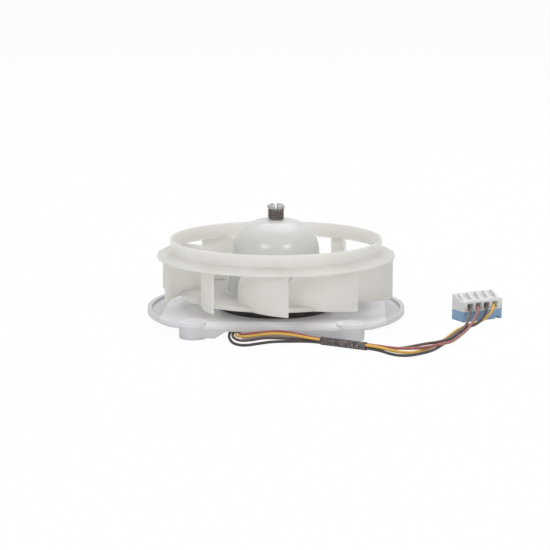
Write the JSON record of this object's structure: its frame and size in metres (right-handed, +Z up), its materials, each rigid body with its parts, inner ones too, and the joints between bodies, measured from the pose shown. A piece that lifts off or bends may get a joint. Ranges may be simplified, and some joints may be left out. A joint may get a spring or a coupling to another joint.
{
  "type": "dc motor",
  "caption": "Small direct-current fan motor on a moulded plate with lugs, with a radial impeller clamped on its shaft and a wired lead ending in a connector.",
  "frame": {"origin": "centre of the part's box at the undersides of the four lugs, on the shaft's axis", "axes": "+Z up along the shaft towards the impeller's collet, +X along the plate's long side, -Y the side where the lead leaves"},
  "size_m": [0.1565, 0.1187, 0.052],
  "materials": {
    "plate": "moulded, light grey",
    "dark_moulding": "moulded, black",
    "thrust_polymer": "moulded, natural",
    "screw_steel": "zinc plated",
    "bearing_bronze": "sintered",
    "lamination_steel": "stacked laminations",
    "insulator": "moulded, white",
    "winding_copper": "enamelled wire",
    "board_laminate": "coated laminate",
    "chip_epoxy": "moulded, black",
    "capacitor_can": "sleeved can",
    "shaft_steel": "ground",
    "rotor_polymer": "moulded",
    "ferrite": "ground ferrite",
    "spring_steel": "dark spring wire",
    "impeller": "milky, slightly translucent moulding",
    "connector_white": "moulded, white",
    "connector_blue": "moulded, blue",
    "contact_tin": "tinned",
    "wire_black": "insulation, black",
    "wire_brown": "insulation, dark brown",
    "wire_yellow": "insulation, yellow",
    "wire_red": "insulation, dull red",
    "sleeve": "shrunk sleeve, black"
  },
  "bodies": {
    "base": {"mounting_plate": "plate", "end_cover": "dark_moulding", "thrust_pad": "thrust_polymer", "motor_housing": "dark_moulding", "cover_screws": "screw_steel", "lower_bearing": "bearing_bronze", "upper_bearing": "bearing_bronze", "stator_core": "lamination_steel", "lower_insulator": "insulator", "upper_insulator": "insulator", "stator_coils": "winding_copper", "circuit_board": "board_laminate", "driver_chip": "chip_epoxy", "hall_sensor": "chip_epoxy", "capacitor": "capacitor_can", "connector_housing": "connector_white", "connector_lock": "connector_blue", "contacts": "contact_tin", "wire_black": "wire_black", "wire_brown": "wire_brown", "wire_yellow": "wire_yellow", "wire_red": "wire_red", "shrink_sleeve": "sleeve"},
    "rotor": {"shaft": "shaft_steel", "rotor_core": "rotor_polymer", "magnet_ring": "ferrite", "thrust_washer": "thrust_polymer", "retaining_clip": "spring_steel", "impeller": "impeller", "clamp_spring": "spring_steel"}
  },
  "joints": [
    {"name": "shaft_spin", "type": "hinge", "parent": "base", "child": "rotor", "pos_m": [0, 0, 0], "axis": [0, 0, 1], "continuous": true}
  ]
}
